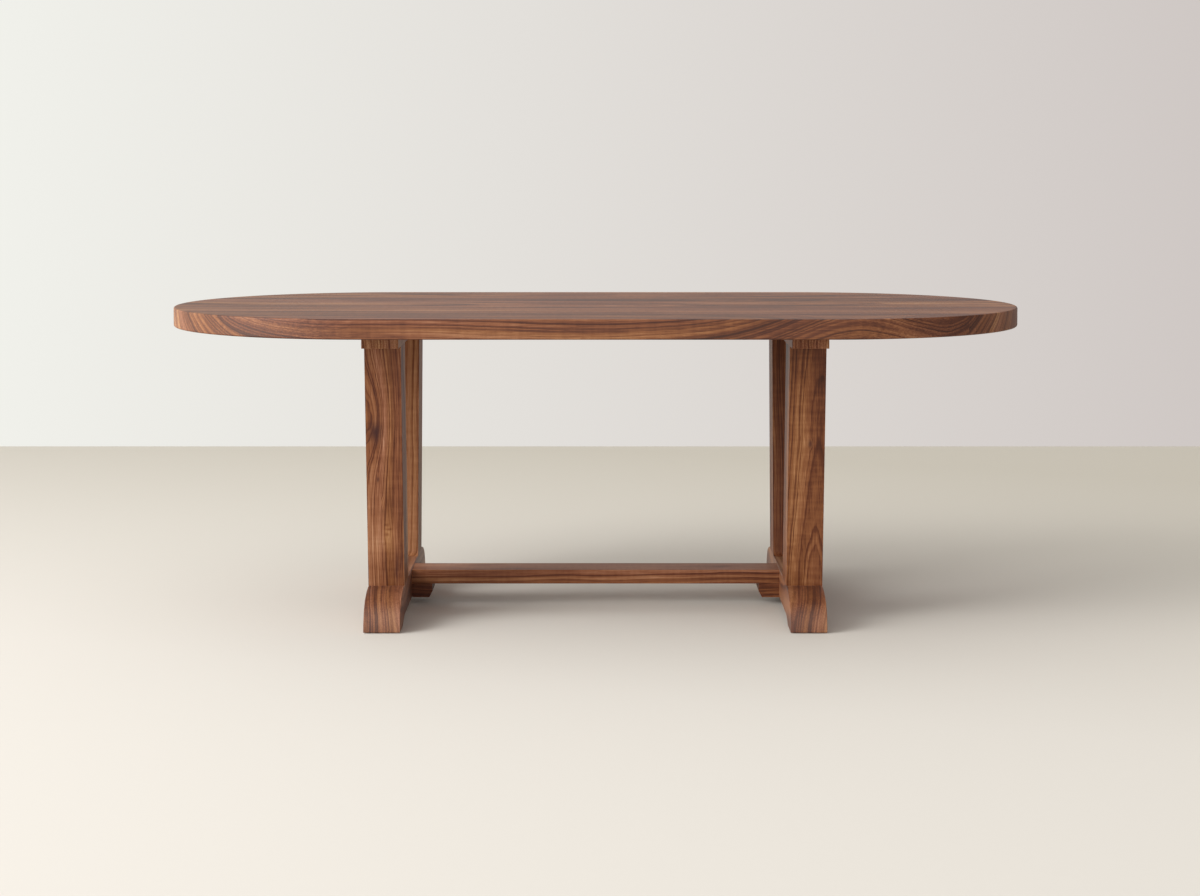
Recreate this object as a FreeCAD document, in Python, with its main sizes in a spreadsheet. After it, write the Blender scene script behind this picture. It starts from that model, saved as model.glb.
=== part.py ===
import FreeCAD, Part
import math
import os
import re
import Sketcher

# Oval dining table on two trestles, in millimetres.
# The origin is on the floor under the middle of the top.
# X runs along the length of the top, Y from front to rear, Z up.

doc = FreeCAD.newDocument("oval_trestle_table")

# Driving dimensions: name, value, meaning
SIZES = [
    # Top
    ("table_height", 762.0, "floor to the upper face of the top"),
    ("top_length", 2132.0, "length over the half-round ends"),
    ("top_width", 1044.0, "width over the straight sides"),
    ("top_thickness", 48.0, "thickness of the boards"),
    ("top_edge_radius", 4.0, "rounding of the upper and lower edge"),
    ("board_count", 8, "boards glued edge to edge"),
    ("spline_thickness", 8.0, "loose tongue between two boards"),
    ("spline_width", 30.0, "tongue across the joint"),
    ("spline_stop", 60.0, "tongue stops this far inside the rounded edge"),
    # Trestles
    ("trestle_spacing", 1022.0, "between the middle planes of the trestles"),
    ("trestle_width", 88.0, "posts, feet and bearers, along X"),
    ("post_depth", 116.0, "post, square to its length"),
    ("post_foot_reach", 270.0, "outer face of a post at the foot, from the middle"),
    ("post_head_reach", 345.0, "outer face of a post at the bearer"),
    ("foot_flare_radius", 16.0, "hollow between a post and the foot"),
    ("head_flare_radius", 12.0, "hollow between a post and the bearer"),
    ("arris_radius", 1.5, "eased edges of the base"),
    ("bearer_overhang", 67.0, "bearer past the outer face of a post"),
    ("bearer_thickness", 30.0, "bearer, upright"),
    ("toe_reach", 133.0, "toe past the outer face of a post"),
    ("foot_height", 90.5, "floor to the seat of the posts"),
    ("toe_radius_share", 0.88, "toe radius as a share of the foot's own height"),
    ("pad_length", 84.0, "flat of the foot behind the tip of the toe"),
    ("relief_run", 68.0, "rise from the pad to the level underside"),
    ("relief_depth", 17.0, "level underside above the pad"),
    # Joinery
    ("tenon_thickness", 30.0, "tenons of the posts, along X"),
    ("tenon_shoulder", 15.0, "shoulder in front of and behind a tenon"),
    ("foot_tenon_length", 50.0, "tenon in the foot"),
    ("head_tenon_length", 22.0, "tenon in the bearer"),
    ("joint_clearance", 0.2, "gap round tenons, tongues and inserts"),
    ("joint_end_gap", 1.5, "room for glue at the end of a mortise"),
    # Stretcher and its blocks
    ("stretcher_width", 96.0, "stretcher and blocks, front to rear"),
    ("stretcher_thickness", 35.5, "stretcher, upright"),
    ("stretcher_drop", 1.2, "stretcher's top below the foot's top"),
    ("stub_length", 20.0, "stub tenon into the foot"),
    ("stub_width", 60.0, "stub tenon, front to rear"),
    ("stub_thickness", 16.0, "stub tenon, upright"),
    ("block_length", 52.0, "block, from the foot inwards"),
    ("block_corner_run", 8.0, "cut corner of the block, along X"),
    ("block_corner_rise", 15.0, "cut corner of the block, upright"),
    # Hardware
    ("bolt_diameter", 8.0, "bolts that hold the top"),
    ("bolt_head_diameter", 14.0, "button head"),
    ("bolt_head_height", 4.4, "button head"),
    ("bolt_rim_share", 0.35, "upright rim of the head, as a share of its height"),
    ("bolt_flat_share", 0.64, "flat of the head, as a share of its diameter"),
    ("bolt_socket_width", 5.0, "hexagon socket, across its flats"),
    ("bolt_socket_depth", 2.6, "hexagon socket"),
    ("bolt_reach", 15.0, "bolt inside the insert"),
    ("bolt_clearance", 0.5, "round a bolt in the bearer"),
    ("bolt_recess", 8.0, "depth of the bore that hides a bolt head"),
    ("bolt_margin", 10.0, "washer to the flare of the nearest post"),
    ("slot_travel", 8.0, "seasonal movement that a slot lets through"),
    ("washer_diameter", 24.0, "washer under a bolt head"),
    ("washer_thickness", 2.0, "washer under a bolt head"),
    ("insert_diameter", 12.0, "threaded insert in the top"),
    ("insert_length", 18.0, "threaded insert in the top"),
    ("screw_diameter", 5.0, "wood screws"),
    ("screw_head_diameter", 10.0, "wood screws"),
    ("screw_head_height", 3.5, "wood screws"),
    ("screw_tip_length", 6.0, "pointed end of a wood screw"),
    ("screw_sink", 12.0, "depth of the bore that hides a screw head"),
    ("screw_clearance", 0.3, "round a screw and its head"),
    ("stretcher_screw_length", 45.0, "up through a block into the stretcher"),
    ("stretcher_screw_spread", 60.0, "between the two upright screws of a block"),
    ("block_screw_length", 70.0, "through a block into the foot"),
    ("block_screw_spread", 26.0, "between the two level screws of a block"),
    ("glide_diameter", 40.0, "glide under a toe"),
    ("glide_thickness", 2.0, "glide between the foot and the floor"),
    ("glide_pin_diameter", 4.0, "pin of a glide"),
    ("glide_pin_length", 16.0, "pin of a glide"),
    ("cut_overrun", 5.0, "cutters pass the face they cut by this much"),
]
NAMES = {alias for alias, number, meaning in SIZES}

sheet = doc.addObject("Spreadsheet::Sheet", "Sizes")
for row, (alias, number, meaning) in enumerate(SIZES, start=1):
    sheet.set(f"A{row}", alias)
    sheet.set(f"B{row}", str(number))
    sheet.set(f"C{row}", meaning)
    sheet.setAlias(f"B{row}", alias)
doc.recompute()

# Levels, places and fits that follow from the driving dimensions
TOP_UNDERSIDE = "(table_height - top_thickness)"
BEARER_UNDERSIDE = "(table_height - top_thickness - bearer_thickness)"
END_CENTRE = "(top_length / 2 - top_width / 2)"
BOARD_WIDTH = "(top_width / board_count)"
TRESTLE_MIDDLE = "(trestle_spacing / 2)"
FOOT_INNER_FACE = "(trestle_spacing / 2 - trestle_width / 2)"
UNDERSIDE_LEVEL = "(glide_thickness + relief_depth)"
STRETCHER_TOP = "(foot_height - stretcher_drop)"
STRETCHER_UNDERSIDE = "(foot_height - stretcher_drop - stretcher_thickness)"
POST_LEAN = f"((post_head_reach - post_foot_reach) / ({BEARER_UNDERSIDE} - foot_height))"
LEAN_SECANT = f"sqrt(1 + {POST_LEAN} ^ 2)"
POST_ACROSS = f"(post_depth * {LEAN_SECANT})"
FOOT_FLARE_RUN = f"(foot_flare_radius * ({LEAN_SECANT} - {POST_LEAN}))"
HEAD_FLARE_RUN = f"(head_flare_radius * ({LEAN_SECANT} + {POST_LEAN}))"
BEARER_END = "(post_head_reach + bearer_overhang)"
TOE_TIP = "(post_foot_reach + toe_reach)"
PAD_END = f"({TOE_TIP} - pad_length)"
RELIEF_END = f"({PAD_END} - relief_run)"
TOE_RADIUS = "(toe_radius_share * (foot_height - glide_thickness))"
GLIDE_PLACE = f"({TOE_TIP} - pad_length / 2)"
INNER_BOLT = f"({BOARD_WIDTH} / 2)"
MIDDLE_BOLT = (f"(post_head_reach - {POST_ACROSS} - {HEAD_FLARE_RUN}"
               " - washer_diameter / 2 - bolt_margin)")
OUTER_BOLT = "(post_head_reach + bearer_overhang / 2)"
BOLT_PLACES = [INNER_BOLT, MIDDLE_BOLT, OUTER_BOLT]
BLOCK_SCREW_LEVEL = f"({UNDERSIDE_LEVEL} / 2 + {STRETCHER_UNDERSIDE} / 2)"
BLOCK_SCREW_BITE = "(block_screw_length + screw_sink - block_length)"
STRETCHER_SCREW_BITE = (f"(stretcher_screw_length + screw_sink + {UNDERSIDE_LEVEL}"
                        f" - {STRETCHER_UNDERSIDE})")
STRETCHER_SCREW_PLACE = f"({FOOT_INNER_FACE} - block_length / 2)"

SIDES = [("left", -1), ("right", 1)]
ENDS = [("front", -1), ("rear", 1)]
UP = FreeCAD.Vector(0, 0, 1)
HALF_TURN = FreeCAD.Rotation(UP, 180)

nodes = []


def sized(formula):
    """Turn a formula of size names into an expression on the sheet."""
    return re.sub(r"[a-z_]+", lambda word: f"Sizes.{word[0]}" if word[0] in NAMES else word[0], formula)


def value(formula):
    """The number that a formula of size names gives now."""
    return float(sheet.evalExpression(sized(formula)))


def bind(thing, **formulas):
    """Tie properties of an object to formulas of size names."""
    for name, formula in formulas.items():
        thing.setExpression(name, sized(formula))


def place(thing, x="0", y="0", z="0"):
    """Tie the place of an object to formulas of size names."""
    for axis, formula in zip("xyz", (x, y, z)):
        thing.setExpression(f"Placement.Base.{axis}", sized(formula))


def keep(thing, label):
    """Name a finished piece, which becomes a node of its own."""
    thing.Label = label
    nodes.append(thing)
    return thing


# Sketching


def new_sketch(body, plane, level="0"):
    """A sketch on one of its body's origin planes, moved along the plane's normal."""
    sketch = body.newObject("Sketcher::SketchObject", f"{body.Name}_sketch")
    origin_plane = next(part for part in body.Origin.OriginFeatures if part.Role == plane)
    sketch.AttachmentSupport = (origin_plane, [""])
    sketch.MapMode = "FlatFace"
    sketch.setExpression("AttachmentOffset.Base.z", sized(level))
    return sketch


def dimension(sketch, kind, *where, formula):
    """A dimension of a sketch, tied to a formula."""
    index = sketch.addConstraint(Sketcher.Constraint(kind, *where, value(formula)))
    sketch.setExpression(f"Constraints[{index}]", sized(formula))


def pin(sketch, edge, point, across, up):
    """Fix a point of an edge by its two distances from the sketch's origin."""
    dimension(sketch, "DistanceX", -1, 1, edge, point, formula=across)
    dimension(sketch, "DistanceY", -1, 1, edge, point, formula=up)


def join(sketch, kind, *where):
    """A constraint without a size, such as Coincident or Tangent."""
    sketch.addConstraint(Sketcher.Constraint(kind, *where))


def line(sketch, start, end):
    return sketch.addGeometry(Part.LineSegment(FreeCAD.Vector(*start, 0), FreeCAD.Vector(*end, 0)))


def arc(sketch, centre, radius, from_angle, to_angle):
    circle = Part.Circle(FreeCAD.Vector(*centre, 0), UP, radius)
    return sketch.addGeometry(Part.ArcOfCircle(circle, from_angle, to_angle))


def polygon(sketch, corners):
    """A closed outline of straight sides, through corners given as pairs of formulas."""
    points = [(value(across), value(up)) for across, up in corners]
    sides = [line(sketch, *ends) for ends in zip(points, points[1:] + points[:1])]
    for side, following in zip(sides, sides[1:] + sides[:1]):
        join(sketch, "Coincident", side, 2, following, 1)
    for side, (across, up) in zip(sides, corners):
        pin(sketch, side, 1, across, up)


def rectangle(sketch, across, up, width, height):
    """A rectangle about a middle point."""
    left, right = f"{across} - ({width}) / 2", f"{across} + ({width}) / 2"
    low, high = f"{up} - ({height}) / 2", f"{up} + ({height}) / 2"
    polygon(sketch, [(left, low), (right, low), (right, high), (left, high)])


def disc(sketch, across, up, diameter):
    """A circle about a middle point."""
    centre = FreeCAD.Vector(value(across), value(up), 0)
    circle = sketch.addGeometry(Part.Circle(centre, UP, value(diameter) / 2))
    pin(sketch, circle, 3, across, up)
    dimension(sketch, "Diameter", circle, formula=diameter)


def slot(sketch, across, up, width, travel):
    """A hole with round ends that runs along the sketch's second axis."""
    x, middle = value(across), value(up)
    radius, half = value(width) / 2, value(travel) / 2
    upper = arc(sketch, (x, middle + half), radius, 0, math.pi)
    lower = arc(sketch, (x, middle - half), radius, math.pi, 2 * math.pi)
    right = line(sketch, (x + radius, middle - half), (x + radius, middle + half))
    left = line(sketch, (x - radius, middle + half), (x - radius, middle - half))
    join(sketch, "Tangent", upper, 1, right, 2)
    join(sketch, "Tangent", right, 1, lower, 2)
    join(sketch, "Tangent", lower, 1, left, 2)
    join(sketch, "Tangent", left, 1, upper, 2)
    join(sketch, "Equal", upper, lower)
    pin(sketch, upper, 3, across, f"{up} + {travel} / 2")
    pin(sketch, lower, 3, across, f"{up} - {travel} / 2")
    dimension(sketch, "Radius", upper, formula=f"({width}) / 2")


# Features


def new_body(name):
    return doc.addObject("PartDesign::Body", name)


def pad(body, sketch, length, symmetric=False):
    feature = body.newObject("PartDesign::Pad", f"{body.Name}_pad")
    feature.Profile = sketch
    feature.SideType = "Symmetric" if symmetric else "One side"
    bind(feature, Length=length)
    doc.recompute()
    return feature


def pocket(body, sketch, length, symmetric=False, along_normal=False):
    """A cut against the sketch's normal, unless it is turned to run along it."""
    feature = body.newObject("PartDesign::Pocket", f"{body.Name}_pocket")
    feature.Profile = sketch
    feature.SideType = "Symmetric" if symmetric else "One side"
    feature.Reversed = along_normal
    bind(feature, Length=length)
    doc.recompute()
    return feature


def turned(body, corners):
    """A body turned about its Z axis from a half profile of radius and height."""
    sketch = new_sketch(body, "XZ_Plane")
    polygon(sketch, corners)
    feature = body.newObject("PartDesign::Revolution", f"{body.Name}_turning")
    feature.Profile = sketch
    feature.ReferenceAxis = (sketch, ["V_Axis"])
    doc.recompute()
    return feature


def ease(body, base, radius, chosen):
    """Round the edges of a feature for which the test says yes."""
    names = [f"Edge{n}" for n, edge in enumerate(base.Shape.Edges, start=1) if chosen(edge.BoundBox)]
    feature = body.newObject("PartDesign::Fillet", f"{body.Name}_easing")
    feature.Base = (base, names)
    bind(feature, Radius=radius)
    doc.recompute()
    return feature


def near(a, b):
    return math.isclose(a, b, abs_tol=value("joint_clearance"))


# Top: an oval panel of boards with loose tongues between them


def make_panel():
    """The glued panel: straight sides, half-round ends, eased edges and bores for the inserts."""
    panel = new_body("panel")
    place(panel, z=TOP_UNDERSIDE)
    outline = new_sketch(panel, "XY_Plane")
    end, radius = value(END_CENTRE), value("top_width / 2")
    right = arc(outline, (end, 0), radius, -math.pi / 2, math.pi / 2)
    rear = line(outline, (end, radius), (-end, radius))
    left = arc(outline, (-end, 0), radius, math.pi / 2, 3 * math.pi / 2)
    front = line(outline, (-end, -radius), (end, -radius))
    join(outline, "Tangent", right, 2, rear, 1)
    join(outline, "Tangent", rear, 2, left, 1)
    join(outline, "Tangent", left, 2, front, 1)
    join(outline, "Tangent", front, 2, right, 1)
    join(outline, "Equal", right, left)
    pin(outline, right, 3, END_CENTRE, "0")
    pin(outline, left, 3, f"-{END_CENTRE}", "0")
    dimension(outline, "Radius", right, formula="top_width / 2")
    slab = pad(panel, outline, "top_thickness")
    ease(panel, slab, "top_edge_radius", lambda box: near(box.ZLength, 0))

    bores = new_sketch(panel, "XY_Plane")
    for side, direction in SIDES:
        for bolt in BOLT_PLACES:
            for end, way in ENDS:
                disc(bores, f"{direction} * {TRESTLE_MIDDLE}", f"{way} * {bolt}",
                     "insert_diameter + 2 * joint_clearance")
    pocket(panel, bores, "insert_length + joint_end_gap", along_normal=True)
    return panel


def make_tongue(name, middle, looseness):
    """A box about a joint line: a tongue, or its groove when it has looseness."""
    inset = f"(top_width / 2 - spline_stop + {looseness})"
    length = f"2 * ({END_CENTRE} + sqrt({inset} ^ 2 - ({middle}) ^ 2))"
    tongue = doc.addObject("Part::Box", name)
    bind(tongue, Length=length, Width=f"spline_width + 2 * {looseness}",
         Height=f"spline_thickness + 2 * {looseness}")
    place(tongue, f"-{length} / 2", f"{middle} - spline_width / 2 - {looseness}",
          f"{TOP_UNDERSIDE} + top_thickness / 2 - spline_thickness / 2 - {looseness}")
    return tongue


def make_top():
    panel = make_panel()
    count = int(value("board_count"))
    grooves = {}
    for joint in range(1, count):
        middle = f"({joint} * {BOARD_WIDTH} - top_width / 2)"
        grooves[joint] = make_tongue(f"groove_{joint}", middle, "joint_clearance")
        keep(make_tongue(f"tongue_{joint}", middle, "0"), f"top_spline_{joint}")
    for number in range(1, count + 1):
        strip = doc.addObject("Part::Box", f"strip_{number}")
        bind(strip, Length="top_length + 2 * cut_overrun", Width=BOARD_WIDTH,
             Height="top_thickness + 2 * cut_overrun")
        place(strip, "-top_length / 2 - cut_overrun", f"({number} - 1) * {BOARD_WIDTH} - top_width / 2",
              f"{TOP_UNDERSIDE} - cut_overrun")
        board = doc.addObject("Part::Common", f"board_{number}")
        board.Base, board.Tool = panel, strip
        for joint in (number - 1, number):
            if joint in grooves:
                grooved = doc.addObject("Part::Cut", f"board_{number}_groove_{joint}")
                grooved.Base, grooved.Tool = board, grooves[joint]
                board = grooved
        keep(board, f"top_board_{number}")
    doc.recompute()


# Trestles


def tenon_outline(sketch, way, shoulder_level, length, upwards, looseness, end_gap):
    """Side view of a post's tenon, or of its mortise when it has looseness."""
    reach = f"({shoulder_level} - foot_height) * {POST_LEAN} + post_foot_reach"
    outer = f"({reach} - tenon_shoulder + {looseness})"
    inner = f"({reach} - {POST_ACROSS} + tenon_shoulder - {looseness})"
    tip = f"({upwards} * ({length} + {end_gap}))"
    mouth = f"({-upwards} * {end_gap})"
    polygon(sketch, [
        (f"{way} * ({inner} + {mouth} * {POST_LEAN})", f"{shoulder_level} + {mouth}"),
        (f"{way} * ({outer} + {mouth} * {POST_LEAN})", f"{shoulder_level} + {mouth}"),
        (f"{way} * ({outer} + {tip} * {POST_LEAN})", f"{shoulder_level} + {tip}"),
        (f"{way} * ({inner} + {tip} * {POST_LEAN})", f"{shoulder_level} + {tip}"),
    ])


def post_outline(sketch):
    """Side view of a rear post: a leaning bar that flares into the foot and the bearer."""
    low, high = value("foot_height"), value(BEARER_UNDERSIDE)
    outer_low, outer_high = value("post_foot_reach"), value("post_head_reach")
    lean = math.atan(value(POST_LEAN))
    across = value(POST_ACROSS)
    inner_low, inner_high = outer_low - across, outer_high - across
    foot_run, head_run = value(FOOT_FLARE_RUN), value(HEAD_FLARE_RUN)
    along = (math.sin(lean), math.cos(lean))
    foot_touch = (inner_low + foot_run * along[0], low + foot_run * along[1])
    head_touch = (inner_high - head_run * along[0], high - head_run * along[1])
    foot_radius, head_radius = value("foot_flare_radius"), value("head_flare_radius")

    bottom = line(sketch, (inner_low - foot_run, low), (outer_low, low))
    outer = line(sketch, (outer_low, low), (outer_high, high))
    top = line(sketch, (outer_high, high), (inner_high - head_run, high))
    head = arc(sketch, (inner_high - head_run, high - head_radius), head_radius, -lean, math.pi / 2)
    inner = line(sketch, head_touch, foot_touch)
    foot = arc(sketch, (inner_low - foot_run, low + foot_radius), foot_radius, -math.pi / 2, -lean)
    join(sketch, "Coincident", bottom, 2, outer, 1)
    join(sketch, "Coincident", outer, 2, top, 1)
    join(sketch, "Tangent", top, 2, head, 2)
    join(sketch, "Tangent", head, 1, inner, 1)
    join(sketch, "Tangent", inner, 2, foot, 2)
    join(sketch, "Tangent", foot, 1, bottom, 1)
    join(sketch, "Horizontal", bottom)
    join(sketch, "Horizontal", top)
    join(sketch, "Parallel", inner, outer)
    pin(sketch, outer, 1, "post_foot_reach", "foot_height")
    pin(sketch, outer, 2, "post_head_reach", BEARER_UNDERSIDE)
    dimension(sketch, "Distance", outer, 1, inner, formula="post_depth")
    dimension(sketch, "Radius", foot, formula="foot_flare_radius")
    dimension(sketch, "Radius", head, formula="head_flare_radius")


def make_post(side, direction, end, way):
    """A leaning post with a tenon at each end."""
    post = new_body(f"{side}_{end}_post")
    place(post, f"{direction} * {TRESTLE_MIDDLE}")
    if way < 0:
        post.Placement.Rotation = HALF_TURN
    outline = new_sketch(post, "YZ_Plane")
    post_outline(outline)
    bar = pad(post, outline, "trestle_width", symmetric=True)
    outer_low, outer_high = value("post_foot_reach"), value("post_head_reach")
    ease(post, bar, "arris_radius",
         lambda box: near(box.YMin, outer_low) and near(box.YMax, outer_high) and near(box.XLength, 0))
    for level, length, upwards in (("foot_height", "foot_tenon_length", -1),
                                   (BEARER_UNDERSIDE, "head_tenon_length", 1)):
        tenon = new_sketch(post, "YZ_Plane")
        tenon_outline(tenon, 1, level, length, upwards, "0", "0")
        pad(post, tenon, "tenon_thickness", symmetric=True)
    keep(post, f"{side}_{end}_post")


def foot_outline(sketch):
    """Side view of the rear half of a foot: level seat, rounded toe, floor pad, relieved underside."""
    top, floor, level = value("foot_height"), value("glide_thickness"), value(UNDERSIDE_LEVEL)
    seat, tip = value("post_foot_reach"), value(TOE_TIP)
    pad_end, level_end = value(PAD_END), value(RELIEF_END)
    toe_radius = value(TOE_RADIUS)
    run, rise = tip - seat, top - floor
    step_radius = (run ** 2 + rise ** 2 - 2 * run * toe_radius) / (2 * (rise - toe_radius))
    toe_centre = (tip - toe_radius, floor)
    step_centre = (seat, top - step_radius)
    meeting = math.atan2(toe_centre[1] - step_centre[1], toe_centre[0] - step_centre[0])
    arch_radius = (value("relief_run") ** 2 + (level - floor) ** 2) / (2 * (level - floor))
    arch_centre = (level_end, level - arch_radius)
    spring = math.atan2(floor - arch_centre[1], pad_end - arch_centre[0])

    middle = line(sketch, (0, top), (0, level))
    soffit = line(sketch, (0, level), (level_end, level))
    arch = arc(sketch, arch_centre, arch_radius, spring, math.pi / 2)
    sole = line(sketch, (pad_end, floor), (tip, floor))
    toe = arc(sketch, toe_centre, toe_radius, 0, meeting)
    step = arc(sketch, step_centre, step_radius, meeting, math.pi / 2)
    deck = line(sketch, (seat, top), (0, top))
    join(sketch, "Coincident", middle, 2, soffit, 1)
    join(sketch, "Tangent", soffit, 2, arch, 2)
    join(sketch, "Coincident", arch, 1, sole, 1)
    join(sketch, "Coincident", sole, 2, toe, 1)
    join(sketch, "Tangent", toe, 2, step, 1)
    join(sketch, "Tangent", step, 2, deck, 1)
    join(sketch, "Coincident", deck, 2, middle, 1)
    pin(sketch, middle, 1, "0", "foot_height")
    pin(sketch, middle, 2, "0", UNDERSIDE_LEVEL)
    pin(sketch, soffit, 2, RELIEF_END, UNDERSIDE_LEVEL)
    pin(sketch, sole, 1, PAD_END, "glide_thickness")
    pin(sketch, sole, 2, TOE_TIP, "glide_thickness")
    pin(sketch, deck, 1, "post_foot_reach", "foot_height")
    dimension(sketch, "DistanceY", -1, 1, toe, 3, formula="glide_thickness")
    dimension(sketch, "Radius", toe, formula=TOE_RADIUS)


def make_foot(side, direction):
    """A foot with mortises for the posts and the stretcher, and bores for screws and glides."""
    foot = new_body(f"{side}_foot")
    place(foot, f"{direction} * {TRESTLE_MIDDLE}")
    if direction > 0:
        foot.Placement.Rotation = HALF_TURN
    outline = new_sketch(foot, "YZ_Plane")
    foot_outline(outline)
    half = pad(foot, outline, "trestle_width", symmetric=True)
    whole = foot.newObject("PartDesign::Mirrored", f"{side}_foot_whole")
    whole.Originals = [half]
    whole.MirrorPlane = (next(p for p in foot.Origin.OriginFeatures if p.Role == "XZ_Plane"), [""])
    foot.Tip = whole
    doc.recompute()

    mortises = new_sketch(foot, "YZ_Plane")
    for end, way in ENDS:
        tenon_outline(mortises, way, "foot_height", "foot_tenon_length", -1,
                      "joint_clearance", "joint_end_gap")
    pocket(foot, mortises, "tenon_thickness + 2 * joint_clearance", symmetric=True)

    socket = new_sketch(foot, "YZ_Plane", "trestle_width / 2")
    rectangle(socket, "0", f"({STRETCHER_TOP} - stretcher_thickness / 2)",
              "stub_width + 2 * joint_clearance", "stub_thickness + 2 * joint_clearance")
    pocket(foot, socket, "stub_length + joint_end_gap")

    pilots = new_sketch(foot, "YZ_Plane", "trestle_width / 2")
    for end, way in ENDS:
        disc(pilots, f"{way} * block_screw_spread / 2", BLOCK_SCREW_LEVEL,
             "screw_diameter + 2 * screw_clearance")
    pocket(foot, pilots, f"{BLOCK_SCREW_BITE} + joint_end_gap")

    pin_holes = new_sketch(foot, "XY_Plane", "glide_thickness")
    for end, way in ENDS:
        disc(pin_holes, "0", f"{way} * {GLIDE_PLACE}", "glide_pin_diameter + 2 * joint_clearance")
    pocket(foot, pin_holes, "glide_pin_length + joint_end_gap", along_normal=True)
    keep(foot, f"{side}_foot")


def make_bearer(side, direction):
    """A flat rail under the top, with mortises for the posts and recessed slots for the bolts."""
    bearer = new_body(f"{side}_bearer")
    place(bearer, f"{direction} * {TRESTLE_MIDDLE}")
    outline = new_sketch(bearer, "XY_Plane", BEARER_UNDERSIDE)
    rectangle(outline, "0", "0", "trestle_width", f"2 * {BEARER_END}")
    rail = pad(bearer, outline, "bearer_thickness")
    low = value(BEARER_UNDERSIDE)
    ease(bearer, rail, "arris_radius", lambda box: near(box.ZMin, low) and near(box.YLength, 0))

    mortises = new_sketch(bearer, "YZ_Plane")
    for end, way in ENDS:
        tenon_outline(mortises, way, BEARER_UNDERSIDE, "head_tenon_length", 1,
                      "joint_clearance", "joint_end_gap")
    pocket(bearer, mortises, "tenon_thickness + 2 * joint_clearance", symmetric=True)

    for hole, depth in (("bolt_diameter", "bearer_thickness + cut_overrun"),
                        ("washer_diameter", "bolt_recess")):
        holes = new_sketch(bearer, "XY_Plane", BEARER_UNDERSIDE)
        width = f"({hole} + 2 * bolt_clearance)"
        for end, way in ENDS:
            disc(holes, "0", f"{way} * {INNER_BOLT}", width)
            slot(holes, "0", f"{way} * {MIDDLE_BOLT}", width, "slot_travel")
            slot(holes, "0", f"{way} * {OUTER_BOLT}", width, "slot_travel")
        pocket(bearer, holes, depth, along_normal=True)
    keep(bearer, f"{side}_bearer")


# Stretcher and its blocks


def make_stretcher():
    """A flat rail between the feet, with a stub tenon at each end."""
    stretcher = new_body("stretcher")
    middle_level = f"({STRETCHER_TOP} - stretcher_thickness / 2)"
    section = new_sketch(stretcher, "YZ_Plane")
    rectangle(section, "0", middle_level, "stretcher_width", "stretcher_thickness")
    rail = pad(stretcher, section, f"2 * {FOOT_INNER_FACE}", symmetric=True)
    length = value(f"2 * {FOOT_INNER_FACE}")
    ease(stretcher, rail, "arris_radius", lambda box: near(box.XLength, length))
    stub = new_sketch(stretcher, "YZ_Plane")
    rectangle(stub, "0", middle_level, "stub_width", "stub_thickness")
    pad(stretcher, stub, f"2 * {FOOT_INNER_FACE} + 2 * stub_length", symmetric=True)
    pilots = new_sketch(stretcher, "XY_Plane", STRETCHER_UNDERSIDE)
    for side, direction in SIDES:
        for end, way in ENDS:
            disc(pilots, f"{direction} * {STRETCHER_SCREW_PLACE}", f"{way} * stretcher_screw_spread / 2",
                 "screw_diameter + 2 * screw_clearance")
    pocket(stretcher, pilots, f"{STRETCHER_SCREW_BITE} + joint_end_gap", along_normal=True)
    keep(stretcher, "stretcher")


def make_block(side, direction):
    """A block against the foot that carries the stretcher's end and takes its screws."""
    block = new_body(f"{side}_stretcher_block")
    place(block, f"{direction} * {FOOT_INNER_FACE}")
    if direction > 0:
        block.Placement.Rotation = HALF_TURN
    outline = new_sketch(block, "XZ_Plane")
    polygon(outline, [
        ("0", UNDERSIDE_LEVEL),
        ("block_length - block_corner_run", UNDERSIDE_LEVEL),
        ("block_length", f"{UNDERSIDE_LEVEL} + block_corner_rise"),
        ("block_length", STRETCHER_UNDERSIDE),
        ("0", STRETCHER_UNDERSIDE),
    ])
    pad(block, outline, "stretcher_width", symmetric=True)

    shank, head = "screw_diameter + 2 * screw_clearance", "screw_head_diameter + 2 * screw_clearance"
    upright_depth = f"({STRETCHER_UNDERSIDE} - {UNDERSIDE_LEVEL})"
    for diameter, depth in ((shank, f"{upright_depth} + cut_overrun"), (head, "screw_sink")):
        upright = new_sketch(block, "XY_Plane", UNDERSIDE_LEVEL)
        for end, way in ENDS:
            disc(upright, "block_length / 2", f"{way} * stretcher_screw_spread / 2", diameter)
        pocket(block, upright, depth, along_normal=True)
    for diameter, depth in ((shank, "block_length + cut_overrun"), (head, "screw_sink")):
        level = new_sketch(block, "YZ_Plane", "block_length")
        for end, way in ENDS:
            disc(level, f"{way} * block_screw_spread / 2", BLOCK_SCREW_LEVEL, diameter)
        pocket(block, level, depth)
    keep(block, f"{side}_stretcher_block")


# Hardware


def make_group(label, pattern, places):
    """Copies of one fastener as a group of separate solids. A place is x, y, z and a rotation."""
    copies = []
    for number, (x, y, z, rotation) in enumerate(places, start=1):
        copy = doc.addObject("App::Link", f"{label}_{number}")
        copy.LinkedObject = pattern
        copy.Placement = FreeCAD.Placement(FreeCAD.Vector(), rotation)
        place(copy, x, y, z)
        copies.append(copy)
    group = doc.addObject("Part::Compound", label)
    group.Links = copies
    keep(group, label)


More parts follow.
